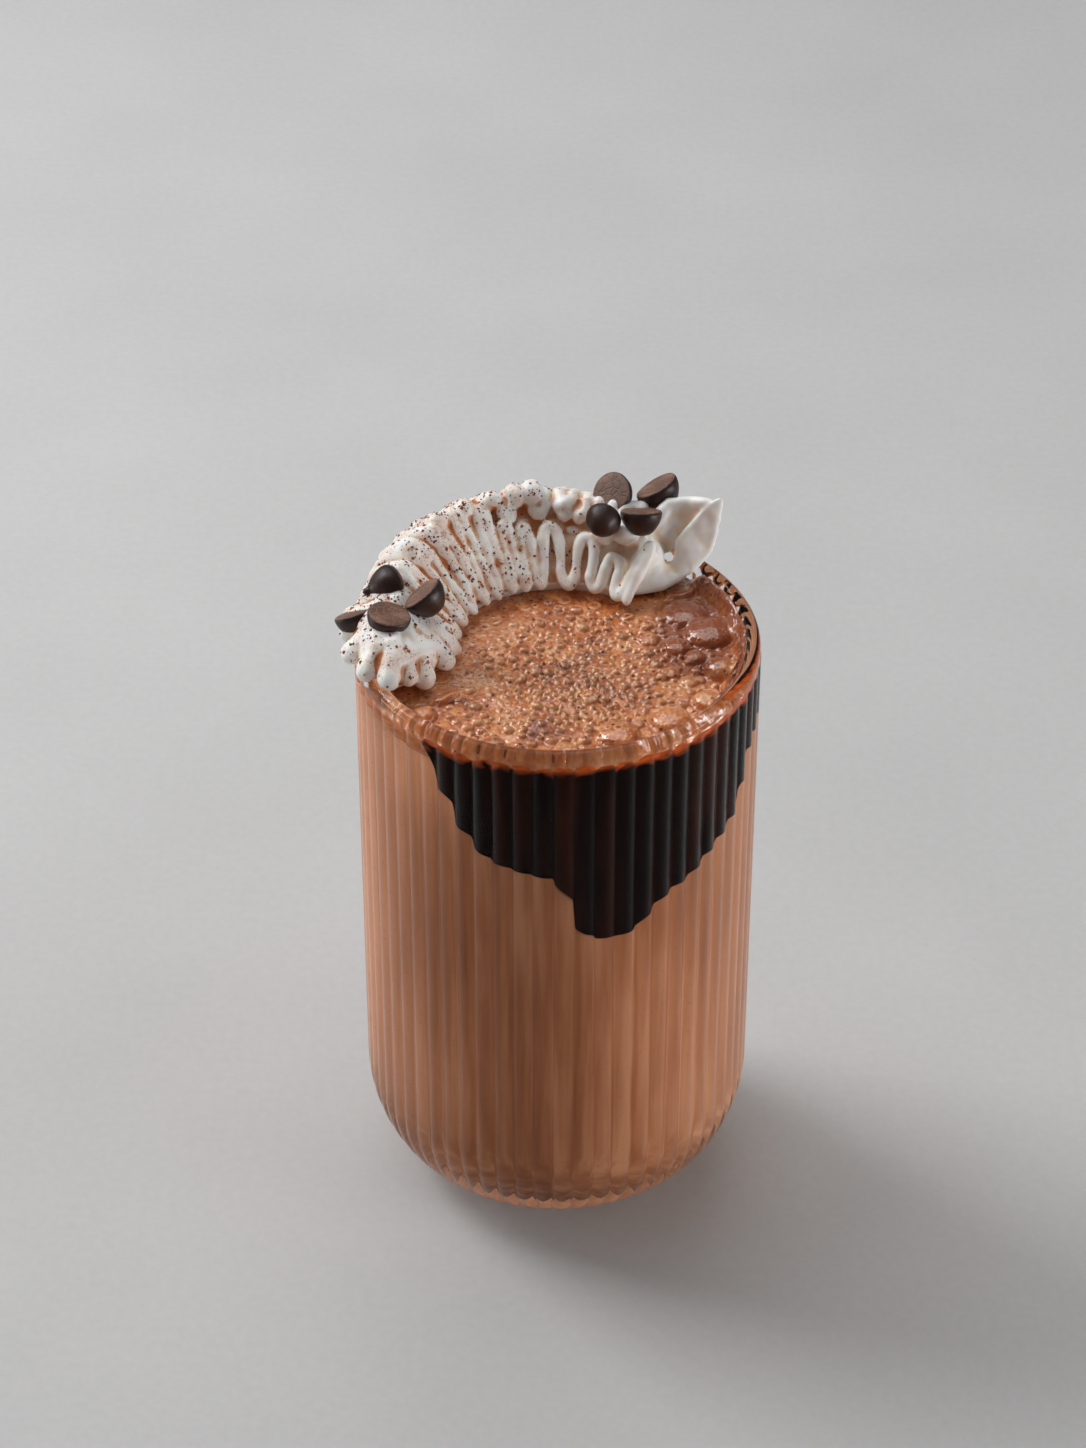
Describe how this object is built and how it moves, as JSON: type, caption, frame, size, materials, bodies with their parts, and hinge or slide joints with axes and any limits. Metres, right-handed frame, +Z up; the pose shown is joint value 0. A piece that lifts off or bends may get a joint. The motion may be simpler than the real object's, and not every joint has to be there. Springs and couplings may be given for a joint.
{
  "type": "chocolate milkshake",
  "caption": "A chocolate milkshake in a clear ribbed tumbler, with dark syrup down the wall, a bubbly froth, and whipped cream piped round the rim with cocoa and chocolate chips.",
  "frame": {"origin": "centre of the glass's flat foot, at its underside", "axes": "+Z up along the glass; the syrup's tongue is on the -Y side and the cream is mostly on the +Y and -X sides"},
  "size_m": [0.0793, 0.0762, 0.1393],
  "materials": {
    "clear_glass": "clear pressed glass with upright ribs and a fire-polished lip",
    "chocolate_milk": "smooth milky brown liquid",
    "chocolate_syrup": "thick glossy dark syrup",
    "froth": "wet froth of small glossy bubbles",
    "whipped_cream": "soft off-white whipped cream dusted with cocoa",
    "dark_chocolate": "dark chocolate, dull on the flat faces and satin on the sides"
  },
  "bodies": {
    "root": {"glass": "clear_glass", "shake": "chocolate_milk", "syrup": "chocolate_syrup", "froth": "froth", "cream": "whipped_cream", "chip_left_side": "dark_chocolate", "chip_left_tilted": "dark_chocolate", "chip_left_flat": "dark_chocolate", "chip_left_outer": "dark_chocolate", "chip_right_facing": "dark_chocolate", "chip_right_back": "dark_chocolate", "chip_right_front": "dark_chocolate", "chip_right_low": "dark_chocolate"}
  },
  "joints": []
}
